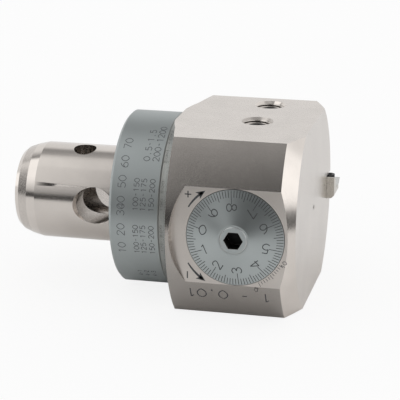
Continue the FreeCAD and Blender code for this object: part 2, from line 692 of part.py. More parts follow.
def holder_dowels():
    pins = []
    for side, sign in (("rear", "-"), ("front", "+")):
        pins.append(rod("dowel_" + side, "dowel_radius", "2 * dowel_bury",
                        "dial_x %s dowel_pitch" % sign, "carrier_reach - dowel_bury", "-bolt_drop"))
    return grouped("holder_dowels", pins)


def carrier_with_holes():
    """The carrier bar drilled on its end face for the bolts and the dowels."""
    bar = tool_carrier()
    tools = []
    for side, sign in (("rear", "-"), ("front", "+")):
        tools.append(rod("tapped_" + side, "bolt_radius + fit", "bolt_grip + 1.5",
                         "dial_x %s bolt_pitch" % sign, "carrier_reach - bolt_grip - 0.5", "-bolt_drop"))
        tools.append(rod("reamed_" + side, "dowel_radius + ream", "dowel_bury + 1.2",
                         "dial_x %s dowel_pitch" % sign, "carrier_reach - dowel_bury - 0.2", "-bolt_drop"))
    bar.Label = "carrier_bar"
    carrier = drilled("carrier", bar, tools)
    carrier.Label = "tool_carrier"
    return carrier


def cutting_insert():
    """80 degree insert with relieved flanks, a nose radius and a screw hole."""
    body = new_body("insert_blank")
    corners = insert_corners()
    sketch = new_sketch(body, "insert_outline", "XY_Plane")
    for i in range(4):
        sketch.addGeometry(Part.LineSegment(corners[i], corners[(i + 1) % 4]), False)
    for i in range(4):
        sketch.addConstraint(Sketcher.Constraint("Coincident", i, 2, (i + 1) % 4, 1))
        sketch.addConstraint(Sketcher.Constraint("DistanceX", -1, 1, i, 1, corners[i].x))
        sketch.addConstraint(Sketcher.Constraint("DistanceY", -1, 1, i, 1, corners[i].y))
    block = pad(body, "insert_block", sketch, "insert_thickness", reverse=True)
    block.TaperAngle = -number("insert_clearance")
    doc.recompute()
    edges = ["Edge%d" % (i + 1) for i, e in enumerate(block.Shape.Edges)
             if abs(e.Vertexes[0].Z - e.Vertexes[-1].Z) > 1.0]
    round_off = body.newObject("PartDesign::Fillet", "insert_noses")
    round_off.Base = (block, edges)
    round_off.setExpression("Radius", cell("insert_nose"))
    doc.recompute()
    centre = (corners[0] + corners[2]) * 0.5
    bore = doc.addObject("Part::Cylinder", "insert_hole")
    bore.setExpression("Radius", cell("insert_hole_radius"))
    bore.setExpression("Height", cell("insert_thickness + 2"))
    bore.Placement.Base = V(centre.x, centre.y, -number("insert_thickness") - 1)
    sink = doc.addObject("Part::Cone", "insert_sink")
    sink.setExpression("Radius1", cell("insert_hole_radius"))
    sink.setExpression("Radius2", cell("insert_head_radius + 0.25"))
    sink.setExpression("Height", cell("insert_sink_depth"))
    sink.Placement.Base = V(centre.x, centre.y, -number("insert_sink_depth"))
    insert = drilled("insert", body, [bore, sink])
    insert.Label = "cutting_insert"
    return insert


def insert_screw():
    """Countersunk screw that pulls the insert into its seat."""
    body = new_body("insert_screw")
    turned(body, "turned_insert_screw", [
        ("-holder_bottom + 0.1", "0"), ("-holder_bottom + 0.1", "insert_screw_radius"),
        ("-insert_sink_depth", "insert_screw_radius"), ("-insert_sink_depth", "insert_hole_radius - 0.2"),
        ("0", "insert_head_radius"),
        ("insert_screw_proud", "insert_head_radius"), ("insert_screw_proud", "0")])
    sketch = new_sketch(body, "key_outline", "YZ_Plane", "insert_screw_proud")
    hexagon(sketch, "0", "0", "insert_key")
    cut(body, "key_recess", sketch, "insert_key_depth")
    corners = insert_corners()
    centre = (corners[0] + corners[2]) * 0.5
    turn = FreeCAD.Rotation(V(0, 1, 0), -90)
    body.Placement = FreeCAD.Placement(V(centre.x, centre.y, 0), turn)
    return body


# ---------------------------------------------------------------- assembly and export

def build_all():
    parts = [head_body(), data_sleeve(), dial_ring(), adjusting_screw()]
    parts.append(thrust_washer("thrust_washer_outer", "-ring_back"))
    parts.append(thrust_washer("thrust_washer_inner", "-flange_inner + fit"))
    parts += [disc_spring(), retaining_ring(), journal_bush()]
    parts.append(seal_ring("dial_seal", "seal_orbit", "seal_cord", "-seal_station"))
    parts.append(seal_ring("carrier_wiper", "wiper_orbit", "wiper_cord", "wiper_y"))
    parts += [carrier_with_holes(), carrier_nut()]
    parts.append(clamp_screw("clamp_screw_dial_side", "-clamp_near"))
    parts.append(clamp_screw("clamp_screw_insert_side", "clamp_far"))
    parts.append(clamp_pad("clamp_pad_dial_side", "-clamp_near"))
    parts.append(clamp_pad("clamp_pad_insert_side", "clamp_far"))
    parts += [guide_screw(), guide_lock_screw(), insert_holder(), holder_bolts()]
    parts += [holder_dowels(), cutting_insert(), insert_screw()]
    return parts


def check_all(parts):
    for thing in doc.Objects:
        for flag in ("Invalid", "Error"):
            if flag in thing.State:
                raise RuntimeError("%s is %s" % (thing.Name, thing.State))
    for piece in parts:
        if piece.Shape.isNull() or not piece.Shape.isValid() or not piece.Shape.Solids:
            raise RuntimeError("%s has no valid solid" % piece.Label)


PARTS = build_all()
doc.recompute()
check_all(PARTS)
os.makedirs("parts", exist_ok=True)
for piece in PARTS:
    piece.Shape.exportStep("parts/%s.step" % piece.Label)
    print("%-26s solids %d volume %10.1f" % (piece.Label, len(piece.Shape.Solids), piece.Shape.Volume))
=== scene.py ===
import math

import bmesh
import bpy
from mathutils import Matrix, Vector


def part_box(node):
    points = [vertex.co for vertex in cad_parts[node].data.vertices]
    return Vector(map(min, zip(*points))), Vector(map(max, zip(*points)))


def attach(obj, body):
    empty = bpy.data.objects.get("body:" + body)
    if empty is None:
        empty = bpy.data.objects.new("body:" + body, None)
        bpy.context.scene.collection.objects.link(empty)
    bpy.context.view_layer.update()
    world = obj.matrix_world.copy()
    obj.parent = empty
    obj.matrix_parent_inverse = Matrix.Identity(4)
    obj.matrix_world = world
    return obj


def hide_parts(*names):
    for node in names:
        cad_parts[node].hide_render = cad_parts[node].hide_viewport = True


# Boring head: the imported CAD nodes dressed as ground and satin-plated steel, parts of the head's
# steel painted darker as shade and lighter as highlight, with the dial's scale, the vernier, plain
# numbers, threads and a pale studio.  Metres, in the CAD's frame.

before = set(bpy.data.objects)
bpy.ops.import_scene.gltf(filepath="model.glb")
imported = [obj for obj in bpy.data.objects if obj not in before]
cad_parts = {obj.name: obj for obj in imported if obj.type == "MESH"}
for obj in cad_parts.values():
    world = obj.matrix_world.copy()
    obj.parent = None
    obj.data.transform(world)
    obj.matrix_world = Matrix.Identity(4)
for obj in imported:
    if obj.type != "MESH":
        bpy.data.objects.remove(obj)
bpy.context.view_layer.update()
MM = 0.001


def centre(node):
    low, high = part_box(node)
    return (low + high) / 2


HEAD_LOW, HEAD_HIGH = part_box("head_body")
FLOOR_Z = HEAD_LOW.z
TOP_FLAT_Z = HEAD_HIGH.z
FACE_X = HEAD_HIGH.x
BARREL_R = HEAD_HIGH.y
DIAL_LOW, DIAL_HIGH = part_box("dial_ring")
DIAL_X = centre("dial_ring").x
DIAL_R = (DIAL_HIGH.x - DIAL_LOW.x) / 2
DIAL_CROWN_Y = DIAL_LOW.y
SLEEVE_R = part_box("data_sleeve")[1].z

# Sizes of the turned forms that the boxes above don't give.
SPIGOT_BORE_R = 14 * MM
SPIGOT_LAND_X = -32.3 * MM
LEAD_END_X = -35.8 * MM
NOSE_END_X = -39.3 * MM
BARREL_START_X = 19 * MM
CONE_INNER_R = 33 * MM
DIAL_FLAT_Y = -41.2 * MM
DIAL_RIM_Y = -41.3 * MM
DIAL_LAND_R = 5.6 * MM
HUB_R = 5.0 * MM
SOCKET_R = 3.55 * MM
SOCKET_FLOOR_Y = -39 * MM
CLAMP_HOLE_R = 5.05 * MM
CLAMP_SINK = 0.8 * MM
THREAD_PITCH = 1.5 * MM
INK_LIFT = 0.015 * MM
NEAR = 0.1 * MM


# --- camera -------------------------------------------------------------------

def make_camera():
    """Camera at the photograph's angle, fitted to the head's outlines."""
    data = bpy.data.cameras.new("camera")
    data.sensor_width = 36.0
    data.lens = 154.06
    data.shift_x = -0.0007
    data.shift_y = -0.003
    data.clip_start = 0.01
    data.clip_end = 50
    camera = bpy.data.objects.new("camera", data)
    camera.location = (0.16579, -0.59255, 0.18991)
    camera.rotation_euler = (math.radians(90 - 17.32), 0, math.radians(13.21))
    bpy.context.collection.objects.link(camera)
    bpy.context.scene.camera = camera


# --- shader nodes -------------------------------------------------------------

class Shader:
    """A material with one principled shader and short ways to add nodes."""

    def __init__(self, name, colour, metallic=0.0, roughness=0.5):
        self.material = bpy.data.materials.new(name)
        self.material.use_nodes = True
        tree = self.material.node_tree
        self.nodes, self.links = tree.nodes, tree.links
        self.surface = self.nodes["Principled BSDF"]
        self.set("Metallic", metallic)
        self.set("Roughness", roughness)
        self.set("Base Color", (*colour, 1))
        self.coords = self.nodes.new("ShaderNodeTexCoord").outputs["Object"]

    def set(self, socket, value):
        self.surface.inputs[socket].default_value = value

    def feed(self, socket, output):
        self.links.new(output, self.surface.inputs[socket])

    def node(self, kind, **values):
        node = self.nodes.new("ShaderNode" + kind)
        for key, value in values.items():
            setattr(node, key, value)
        return node

    def noise(self, scale, detail=3.0, stretch=(1, 1, 1), distortion=0.0):
        """Noise of the given scale per metre, stretched by axis."""
        mapping = self.node("Mapping")
        mapping.inputs["Scale"].default_value = stretch
        self.links.new(self.coords, mapping.inputs[0])
        noise = self.node("TexNoise")
        noise.inputs["Scale"].default_value = scale
        noise.inputs["Detail"].default_value = detail
        noise.inputs["Distortion"].default_value = distortion
        self.links.new(mapping.outputs[0], noise.inputs["Vector"])
        return noise.outputs["Fac"]

    def spread(self, value, low, high, start=0.3, end=0.7):
        """Remap a 0 to 1 value to the given range."""
        remap = self.node("MapRange")
        remap.inputs["From Min"].default_value = start
        remap.inputs["From Max"].default_value = end
        remap.inputs["To Min"].default_value = low
        remap.inputs["To Max"].default_value = high
        self.links.new(value, remap.inputs["Value"])
        return remap.outputs[0]

    def tint(self, value, dark, light):
        """Colour between two tones by a 0 to 1 value."""
        ramp = self.node("ValToRGB")
        ramp.color_ramp.elements[0].position = 0.3
        ramp.color_ramp.elements[0].color = (*dark, 1)
        ramp.color_ramp.elements[1].position = 0.7
        ramp.color_ramp.elements[1].color = (*light, 1)
        self.links.new(value, ramp.inputs[0])
        return ramp.outputs[0]

    def bump(self, height, strength, distance):
        bump = self.node("Bump")
        bump.inputs["Strength"].default_value = strength
        bump.inputs["Distance"].default_value = distance
        self.links.new(height, bump.inputs["Height"])
        if self.surface.inputs["Normal"].is_linked:
            earlier = self.surface.inputs["Normal"].links[0].from_socket
            self.links.new(earlier, bump.inputs["Normal"])
        self.feed("Normal", bump.outputs[0])


def shade(colour, factor):
    return tuple(channel * factor for channel in colour)


def steel(name, colour, roughness, grain, stretch, depth):
    """Bare steel: fine grain along the tool marks, cloudy tone and uneven gloss."""
    shader = Shader(name, colour, metallic=1.0, roughness=roughness)
    cloud = shader.noise(90, detail=4)
    shader.feed("Base Color", shader.tint(cloud, shade(colour, 0.95), shade(colour, 1.04)))
    marks = shader.noise(grain, detail=3, stretch=stretch)
    shader.feed("Roughness", shader.spread(marks, roughness * 0.8, roughness * 1.25))
    shader.bump(marks, 1.0, depth)
    return shader.material


def satin(name, colour, roughness, metallic, grain=4200, depth=1.2e-6):
    """Blasted and plated surface: even sparkle without direction."""
    shader = Shader(name, colour, metallic=metallic, roughness=roughness)
    cloud = shader.noise(60, detail=3)
    shader.feed("Base Color", shader.tint(cloud, shade(colour, 0.96), shade(colour, 1.03)))
    sparkle = shader.noise(grain, detail=2)
    shader.feed("Roughness", shader.spread(sparkle, roughness * 0.9, roughness * 1.12))
    shader.bump(sparkle, 1.0, depth)
    return shader.material


def oxide(name, colour, roughness, metallic=0.6):
    """Blackened steel, a little brighter where it has rubbed."""
    shader = Shader(name, colour, metallic=metallic, roughness=roughness)
    rub = shader.noise(700, detail=4)
    shader.feed("Base Color", shader.tint(rub, shade(colour, 0.75), shade(colour, 1.5)))
    shader.feed("Roughness", shader.spread(rub, roughness * 0.8, roughness * 1.2))
    shader.bump(rub, 0.6, 4e-6)
    return shader.material


def rubber(name):
    shader = Shader(name, (0.018, 0.018, 0.019), roughness=0.7)
    skin = shader.noise(2500, detail=2)
    shader.feed("Roughness", shader.spread(skin, 0.6, 0.8))
    shader.bump(skin, 0.5, 6e-6)
    return shader.material


STEEL = (0.66, 0.615, 0.575)
PLATE = (0.40, 0.43, 0.43)
AROUND_X = (1.0, 0.25, 0.25)
AROUND_Y = (0.25, 1.0, 0.25)
AROUND_Z = (0.25, 0.25, 1.0)
ALONG_X = (0.2, 1.0, 1.0)
EVEN = (1.0, 1.0, 1.0)

FINISH = {
    "spigot": steel("spigot_ground", STEEL, 0.17, 5200, AROUND_X, 1.5e-6),
    # Painted shade: the barrel is the head's steel darkened to 0.62.
    "barrel": steel("barrel_ground_painted_shade", shade(STEEL, 0.62), 0.20, 3600, (1, 0.6, 0.6), 6e-6),
    # Painted highlight: the lead band is the head's steel lightened to 1.05.
    "lead": steel("lead_polished_painted_highlight", shade(STEEL, 1.05), 0.14, 3600, EVEN, 0.8e-6),
    # Painted shade: the nose band is the head's steel darkened to 0.9.
    "nose": steel("nose_turned_painted_shade", shade(STEEL, 0.9), 0.24, 5200, (1.0, 0.3, 0.3), 3e-6),
    "dial_flat": steel("dial_flat_blasted", shade(STEEL, 0.9), 0.34, 4200, EVEN, 2e-6),
    # Painted shade: the thread linings inside the clamp holes are the head's steel darkened to
    # 0.85.
    "thread": steel("thread_cut_painted_shade", shade(STEEL, 0.85), 0.2, 4200, AROUND_Z, 1e-6),
    # Painted highlight: the front cone is the head's steel lightened to 1.1.
    "cone": steel("cone_turned_painted_highlight", shade(STEEL, 1.1), 0.16, 4200, AROUND_X, 1.0e-6),
    "flat": steel("flat_ground", shade(STEEL, 0.98), 0.26, 4200, ALONG_X, 1.2e-6),
    "face": steel("face_turned", STEEL, 0.24, 3600, EVEN, 1.0e-6),
    # Painted shade: bores, pockets and all other faces not named above are the head's steel
    # darkened to 0.8.
    "bore": steel("bore_reamed_painted_shade", shade(STEEL, 0.8), 0.28, 4200, AROUND_Y, 2e-6),
    "edge": steel("edge_broken", shade(STEEL, 1.1), 0.14, 3000, EVEN, 1e-6),
    "screw": steel("screw_steel", (0.50, 0.50, 0.49), 0.26, 4200, AROUND_Y, 1.5e-6),
    "hardened": steel("hardened_steel", (0.50, 0.49, 0.48), 0.22, 4200, AROUND_Y, 1.2e-6),
    "spring": steel("spring_steel", (0.30, 0.29, 0.28), 0.3, 3000, AROUND_Y, 2e-6),
    "carrier": steel("carrier_steel", (0.46, 0.45, 0.43), 0.24, 4600, AROUND_Y, 1.4e-6),
    "carbide": steel("carbide_ground", (0.60, 0.60, 0.58), 0.32, 5200, ALONG_X, 1.5e-6),
    "bronze": satin("bronze", (0.55, 0.35, 0.15), 0.35, 1.0, 3000, 1.5e-6),
    "brass": satin("brass", (0.62, 0.44, 0.17), 0.32, 1.0, 3000, 1.5e-6),
    "sleeve": satin("sleeve_plated", PLATE, 0.42, 1.0),
    "dial": satin("dial_plated", shade(PLATE, 1.08), 0.36, 1.0, 4200, 0.8e-6),
    "oxide": oxide("black_oxide", (0.020, 0.020, 0.021), 0.42),
    "holder": steel("holder_ground", (0.60, 0.57, 0.52), 0.28, 4200, EVEN, 1.5e-6),
    # Painted shade: the hexagon sockets are painted near-black, darker than the screws, for the
    # shade inside them.
    "socket": oxide("socket_painted_shade", (0.006, 0.006, 0.006), 0.6, 0.3),
    "rubber": rubber("seal_rubber"),
    "ink": oxide("engraved_dark", (0.050, 0.052, 0.055), 0.6, 0.2),
    "ink_fine": oxide("engraved_grey", (0.10, 0.105, 0.11), 0.6, 0.2),
}


# --- meshes -------------------------------------------------------------------

def add_mesh(name, verts, faces, finishes, smooth=True):
    mesh = bpy.data.meshes.new(name)
    mesh.from_pydata(verts, [], faces)
    for finish in finishes:
        mesh.materials.append(FINISH[finish])
    mesh.polygons.foreach_set("use_smooth", [smooth] * len(mesh.polygons))
    obj = bpy.data.objects.new(name, mesh)
    bpy.context.collection.objects.link(obj)
    return obj


def seat(obj, body):
    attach(obj, body)
    return obj


SHARP = math.radians(24)


def dress(node, pick, finishes, body, edge=0.12 * MM):
    """A piece shaped like a CAD node, with broken edges and a finish chosen for each face; some of
    these finishes carry painted shade and painted highlight.
    """
    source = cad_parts[node]
    mesh = bpy.data.meshes.new(node + "_dressed")
    for finish in finishes:
        mesh.materials.append(FINISH[finish])
    shape = bmesh.new()
    shape.from_mesh(source.data)
    shape.transform(source.matrix_world)
    bmesh.ops.remove_doubles(shape, verts=shape.verts, dist=1e-6)
    shape.normal_update()
    for face in shape.faces:
        face.smooth = True
        face.material_index = finishes.index(pick(face.calc_center_median(), face.normal))
    weight = shape.edges.layers.float.new("bevel_weight_edge")
    for side in shape.edges:
        turn = side.calc_face_angle(0)
        change = len({face.material_index for face in side.link_faces}) > 1
        side.smooth = turn < SHARP and not change
        side[weight] = float(turn > SHARP)
    shape.to_mesh(mesh)
    shape.free()
    obj = bpy.data.objects.new(node + "_dressed", mesh)
    bpy.context.collection.objects.link(obj)
    bevel = obj.modifiers.new("broken_edges", "BEVEL")
    bevel.width = edge
    bevel.segments = 2
    bevel.limit_method = "WEIGHT"
    bevel.harden_normals = True
    bevel.material = finishes.index("edge")
    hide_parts(node)
    return seat(obj, body)


def radius_x(point):
    return math.hypot(point.y, point.z)


def head_finish(point, normal):
    """Finish of the head's surface at a point, by where it is and which way it faces; the barrel,
    nose and bore finishes are its steel with painted shade, the lead and cone finishes its steel
    with painted highlight.
    """
    outward = normal.y * point.y + normal.z * point.z
    radius = radius_x(point)
    if abs(normal.z) > 0.99 and abs(abs(point.z) - TOP_FLAT_Z) < NEAR:
        return "flat"
    if normal.y < -0.99 and abs(point.y - DIAL_FLAT_Y) < NEAR:
        return "dial_flat"
    if normal.x > 0.99 and abs(point.x - FACE_X) < NEAR:
        return "face"
    if point.x < 0 and radius > SPIGOT_BORE_R and outward > 0:
        if point.x > SPIGOT_LAND_X:
            return "spigot"
        return "nose" if LEAD_END_X > point.x > NOSE_END_X else "lead"
    if point.x > BARREL_START_X and outward > 0:
        if radius > BARREL_R - 1 * MM and abs(normal.x) < 0.1:
            return "barrel"
        if radius > CONE_INNER_R and abs(normal.x) > 0.1:
            return "cone"
    # Bores, pockets and all other faces get the steel darkened as painted shade.
    return "bore"


def make_head():
    finishes = ["spigot", "lead", "nose", "barrel", "cone", "flat", "dial_flat", "face", "bore",
                "edge"]
    return dress("head_body", head_finish, finishes, "head")


def screw_finish(point, normal):
    """The hub's face matches the dial; the hexagon socket in it is painted near-black as shade."""
    radius = math.hypot(point.x - DIAL_X, point.z)
    if point.y > DIAL_CROWN_Y + 1.5 * MM and radius > HUB_R - NEAR:
        return "screw"
    if radius < SOCKET_R and normal.y > -0.9 and point.y < SOCKET_FLOOR_Y:
        return "socket"
    if radius < SOCKET_R and point.y > DIAL_CROWN_Y + 1 * MM and point.y < SOCKET_FLOOR_Y:
        return "socket"
    return "dial"


def make_adjusting_screw():
    return dress("adjusting_screw", screw_finish, ["screw", "dial", "socket", "edge"], "adjuster",
                 edge=0.08 * MM)


def internal_thread(name, x, y, low, high, body):
    """Wall of a threaded hole: a helical ridge that fades out at the mouth."""
    columns, rows_per_turn = 72, 10
    rows = round((high - low) / THREAD_PITCH * rows_per_turn)
    root, crest = CLAMP_HOLE_R - 0.02 * MM, CLAMP_HOLE_R - 0.62 * MM
    root_land, flank = 0.15, 0.7
    fade_length = 0.5 * THREAD_PITCH
    verts, faces = [], []
    for row in range(rows + 1):
        z = low + (high - low) * row / rows
        fade = min(1, (high - z) / fade_length)
        for column in range(columns):
            turn = column / columns
            phase = (z / THREAD_PITCH - turn) % 1
            ridge = min(1, max(0, (1 - abs(2 * phase - 1) - root_land) / flank))
            radius = root + (crest - root) * ridge * fade
            angle = 2 * math.pi * turn
            verts.append((x + radius * math.cos(angle), y + radius * math.sin(angle), z))
    for row in range(rows):
        for column in range(columns):
            a, b = row * columns + column, row * columns + (column + 1) % columns
            faces.append((a, a + columns, b + columns, b))
    return seat(add_mesh(name, verts, faces, ["thread"]), body)


SCREW_SIDES = 48


def loop_of(radius_at, z, x, y):
    """Ring of points round an axis, its radius given for each angle."""
    ring = [2 * math.pi * i / SCREW_SIDES for i in range(SCREW_SIDES)]
    return [(x + radius_at(a) * math.cos(a), y + radius_at(a) * math.sin(a), z) for a in ring]


def set_screw(node, body):
    """Black set screw with chamfered ends and a hexagon socket."""
    low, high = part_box(node)
    x, y = (low.x + high.x) / 2, (low.y + high.y) / 2
    outer, flats, depth = CLAMP_HOLE_R - 0.66 * MM, 2.5 * MM, 5 * MM
    chamfer = 0.7 * MM

    def round_at(radius):
        return lambda angle: radius

    def hex_at(size):
        sixth = math.pi / 3
        return lambda angle: size / math.cos((angle + sixth / 2) % sixth - sixth / 2)

    rings = [(round_at(outer - chamfer), low.z), (round_at(outer), low.z + chamfer),
             (round_at(outer), high.z - chamfer), (round_at(outer - chamfer), high.z),
             (round_at(flats * 1.2), high.z), (hex_at(flats), high.z - 0.35 * MM),
             (hex_at(flats), high.z - depth), (hex_at(flats * 0.1), high.z - depth - 1 * MM)]
    verts = []
    for radius_at, z in rings:
        verts += loop_of(radius_at, z, x, y)
    faces = [tuple(reversed(range(SCREW_SIDES)))]
    for ring in range(len(rings) - 1):
        for i in range(SCREW_SIDES):
            a, b = ring * SCREW_SIDES + i, ring * SCREW_SIDES + (i + 1) % SCREW_SIDES
            faces.append((a, b, b + SCREW_SIDES, a + SCREW_SIDES))
    faces.append(tuple(range(len(verts) - SCREW_SIDES, len(verts))))
    obj = add_mesh(node + "_turned", verts, faces, ["oxide", "socket"])
    # The socket's faces get the near-black painted shade.
    socket_start = 1 + 5 * SCREW_SIDES
    for face in obj.data.polygons:
        face.material_index = 1 if face.index >= socket_start else 0
    obj.data.set_sharp_from_angle(angle=SHARP)
    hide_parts(node)
    return seat(obj, body)


def make_clamps():
    """Threaded holes in the top flat, each with its set screw."""
    for side in ("dial_side", "insert_side"):
        node = "clamp_screw_" + side
        set_screw(node, "clamp_%s_screw" % side)
        middle = centre(node)
        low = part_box(node)[0].z
        internal_thread("thread_" + side, middle.x, middle.y, low, TOP_FLAT_Z - CLAMP_SINK,
                        "head")


# --- marks --------------------------------------------------------------------

# Plain digits drawn in a cell 4 wide and 6 high: straight runs, open curves and closed loops.
DIGITS = {
    "0": [("loop", (2, 6), (4, 4.2), (4, 1.8), (2, 0), (0, 1.8), (0, 4.2))],
    "1": [("run", (0.8, 4.8), (2.2, 6), (2.2, 0))],
    "2": [("curve", (0.2, 4.6), (0.6, 5.6), (2, 6), (3.6, 5.3), (3.7, 4.2), (2.6, 2.6), (0, 0)),
          ("run", (0, 0), (4, 0))],
    "3": [("curve", (0.3, 5.3), (1.8, 6), (3.6, 5.2), (3.4, 3.8), (1.8, 3.2)),
          ("curve", (1.8, 3.2), (3.8, 2.5), (3.9, 1), (2, 0), (0.2, 0.8))],
    "4": [("run", (3, 0), (3, 6), (0, 1.8), (4, 1.8))],
    "5": [("run", (3.6, 6), (0.7, 6), (0.5, 3.3)),
          ("curve", (0.5, 3.3), (2, 3.8), (3.8, 2.9), (3.9, 1.2), (2.2, 0), (0.2, 0.7))],
    "6": [("curve", (3.3, 5.8), (1.2, 4.6), (0.1, 2.4), (0.4, 0.7), (2, 0), (3.8, 0.8), (3.8, 2.6),
           (2, 3.5), (0.4, 2.6))],
    "7": [("run", (0, 6), (4, 6), (1.4, 0))],
    "8": [("loop", (2, 3.2), (3.5, 4.2), (3.3, 5.6), (2, 6), (0.7, 5.6), (0.5, 4.2)),
          ("loop", (2, 3.2), (3.9, 2.2), (3.8, 0.7), (2, 0), (0.2, 0.7), (0.1, 2.2))],
    "9": [("curve", (0.7, 0.2), (2.8, 1.4), (3.9, 3.6), (3.6, 5.3), (2, 6), (0.2, 5.2), (0.2, 3.4),
           (2, 2.5), (3.6, 3.4))],
    "-": [("run", (0.8, 3), (3.2, 3))],
    ".": [("run", (1.7, 0), (2.3, 0), (2.3, 0.6), (1.7, 0.6))],
    "+": [("run", (0.2, 3), (3.8, 3)), ("run", (2, 1.2), (2, 4.8))],
}
CELL_WIDTH = 4
CELL_HEIGHT = 6
CELL_PITCH = 5.4


def smooth_line(points, closed):
    """Points along a smooth curve through the given ones."""
    steps = 5
    count = len(points)
    spans = count if closed else count - 1
    line = []
    for i in range(spans):
        if closed:
            knots = [points[(i + k) % count] for k in (-1, 0, 1, 2)]
        else:
            knots = [points[max(0, min(count - 1, i + k))] for k in (-1, 0, 1, 2)]
        a, b, c, d = [Vector(knot) for knot in knots]
        for step in range(steps):
            t = step / steps
            line.append((b * 2 + (c - a) * t + (a * 2 - b * 5 + c * 4 - d) * t ** 2
                         + (b * 3 - a - c * 3 + d) * t ** 3) / 2)
    if not closed:
        line.append(Vector(points[-1]))
    return line


class Marks:
    """Thin ribbons laid on a surface; place() turns flat coordinates into a point on it."""

    def __init__(self, place):
        self.place = place
        self.verts = []
        self.faces = []

    def ribbon(self, points, width, closed=False, end_width=None):
        end_width = width if end_width is None else end_width
        points = [Vector(point) for point in points]
        count = len(points)
        first = len(self.verts)
        for i, point in enumerate(points):
            ahead = points[(i + 1) % count] if closed or i < count - 1 else point
            behind = points[i - 1] if closed or i > 0 else point
            run = (ahead - behind).normalized()
            side = Vector((-run.y, run.x)) * (width + (end_width - width) * i / (count - 1)) / 2
            self.verts.append(self.place(*(point + side)))
            self.verts.append(self.place(*(point - side)))
        for i in range(count if closed else count - 1):
            a, b = first + 2 * i, first + 2 * ((i + 1) % count)
            self.faces.append((a, a + 1, b + 1, b))

    def run(self, points, width):
        """Straight pieces with square joints, in short steps that follow the surface."""
        steps = 8
        for start, end in zip(points, points[1:]):
            start, end = Vector(start), Vector(end)
            self.ribbon([start.lerp(end, i / steps) for i in range(steps + 1)], width)

    def wedge(self, corners):
        first = len(self.verts)
        self.verts += [self.place(*corner) for corner in corners]
        self.faces.append(tuple(range(first, first + len(corners))))

    def text(self, text, origin, along, up, height, width):
        """Digits from the origin, written along one direction with their tops towards another."""
        along, up = Vector(along).normalized(), Vector(up).normalized()
        scale = height / CELL_HEIGHT
        for column, char in enumerate(text):
            if char == " ":
                continue
            base = Vector(origin) + along * column * CELL_PITCH * scale
            for kind, *points in DIGITS[char]:
                if kind != "run":
                    points = smooth_line(points, kind == "loop")
                line = [base + along * point[0] * scale + up * point[1] * scale for point in points]
                if kind == "run":
                    self.run(line, width)
                else:
                    self.ribbon(line, width, closed=kind == "loop")

    def centred(self, text, middle, along, up, height, width):
        length = (CELL_PITCH * (len(text) - 1) + CELL_WIDTH) * height / CELL_HEIGHT
        along, up = Vector(along).normalized(), Vector(up).normalized()
        origin = Vector(middle) - along * length / 2 - up * height / 2
        self.text(text, origin, along, up, height, width)

    def seat(self, name, finish, body, slot):
        return seat(add_mesh(name, self.verts, self.faces, [finish], smooth=False), body)


def polar(radius, degrees):
    angle = math.radians(degrees)
    return Vector((radius * math.cos(angle), radius * math.sin(angle)))


def on_dial(u, v):
    """Point on the dial's cone; u and v run right and up from the dial's centre."""
    rise = (DIAL_R - math.hypot(u, v)) / (DIAL_R - DIAL_LAND_R)
    return DIAL_X + u, DIAL_RIM_Y - rise * (DIAL_RIM_Y - DIAL_CROWN_Y) - INK_LIFT, v


def on_dial_flat(u, v):
    return DIAL_X + u, DIAL_FLAT_Y - INK_LIFT, v


def on_barrel(u, v):
    """u along the tool axis, v as an arc length above the dial's centre line."""
    angle = v / BARREL_R
    radius = BARREL_R + INK_LIFT
    return u, -radius * math.cos(angle), radius * math.sin(angle)


def on_sleeve(u, v):
    angle = v / SLEEVE_R
    radius = SLEEVE_R + INK_LIFT
    return u, -radius * math.cos(angle), radius * math.sin(angle)


DIAL_ZERO = 167
DIAL_DIVISIONS = 100
VERNIER_START = -62
VERNIER_STEP = 3.24


def mark_dial():
    """A hundred graduations, every fifth and tenth longer, and ten numerals."""
    marks = Marks(on_dial)
    rim = DIAL_R - 0.2 * MM
    numeral_r = 11.5
    for i in range(DIAL_DIVISIONS):
        length = 4.6 if i % 10 == 0 else 3.3 if i % 5 == 0 else 2.4
        angle = DIAL_ZERO + 360 / DIAL_DIVISIONS * i
        marks.ribbon([polar(rim - length * MM, angle), polar(rim, angle)], 0.24 * MM)
    for number in range(10):
        angle = DIAL_ZERO + 36 * number
        outward = polar(1, angle)
        up = Vector((outward.y, -outward.x))
        marks.centred(str(number), outward * numeral_r * MM, -outward, up, 3.5 * MM, 0.34 * MM)
    marks.seat("dial_scale", "ink", "adjuster", "anodised_dial")


def turning_arrow(marks, radius, start, end):
    """Arc that thickens towards its arrow head and ends inside it."""
    steps = 16
    head_length, head_half_width, head_notch = 3.4, 0.42, 0.75
    line = [polar(radius, start + (end - start) * i / steps) for i in range(steps - 1)]
    marks.ribbon(line, 0.5 * MM, end_width=0.95 * MM)
    tip = polar(radius, end)
    back = (line[-2] - tip).normalized() * head_length * MM
    side = Vector((-back.y, back.x)) * head_half_width
    marks.wedge([tip, tip + back + side, tip + back * head_notch, tip + back - side])


def mark_dial_flat():
    """Plus and minus arrows, and the vernier beside the dial."""
    marks = Marks(on_dial_flat)
    turning_arrow(marks, 19.5 * MM, 149, 123)
    turning_arrow(marks, 19.9 * MM, -148, -122)
    marks.centred("+", (-16.8 * MM, 14.7 * MM), (1, 0), (0, 1), 4.0 * MM, 0.42 * MM)
    minus_x = -17.1 * MM
    marks.ribbon([(minus_x, -13.7 * MM), (minus_x, -16.3 * MM)], 0.42 * MM)
    inner = 17.9 * MM
    for i in range(11):
        angle = VERNIER_START + VERNIER_STEP * i
        length = 1.7 if i % 5 == 0 else 1.2
        marks.ribbon([polar(inner, angle), polar(inner + length * MM, angle)], 0.2 * MM)
    for text, middle in (("0", (7.6, -18.6)), ("10", (17.3, -8.6))):
        up = Vector(middle).normalized() * -1
        along = Vector((up.y, -up.x))
        marks.centred(text, Vector(middle) * MM, along, up, 1.5 * MM, 0.2 * MM)
    marks.seat("vernier_and_arrows", "ink", "head", "ground_steel")


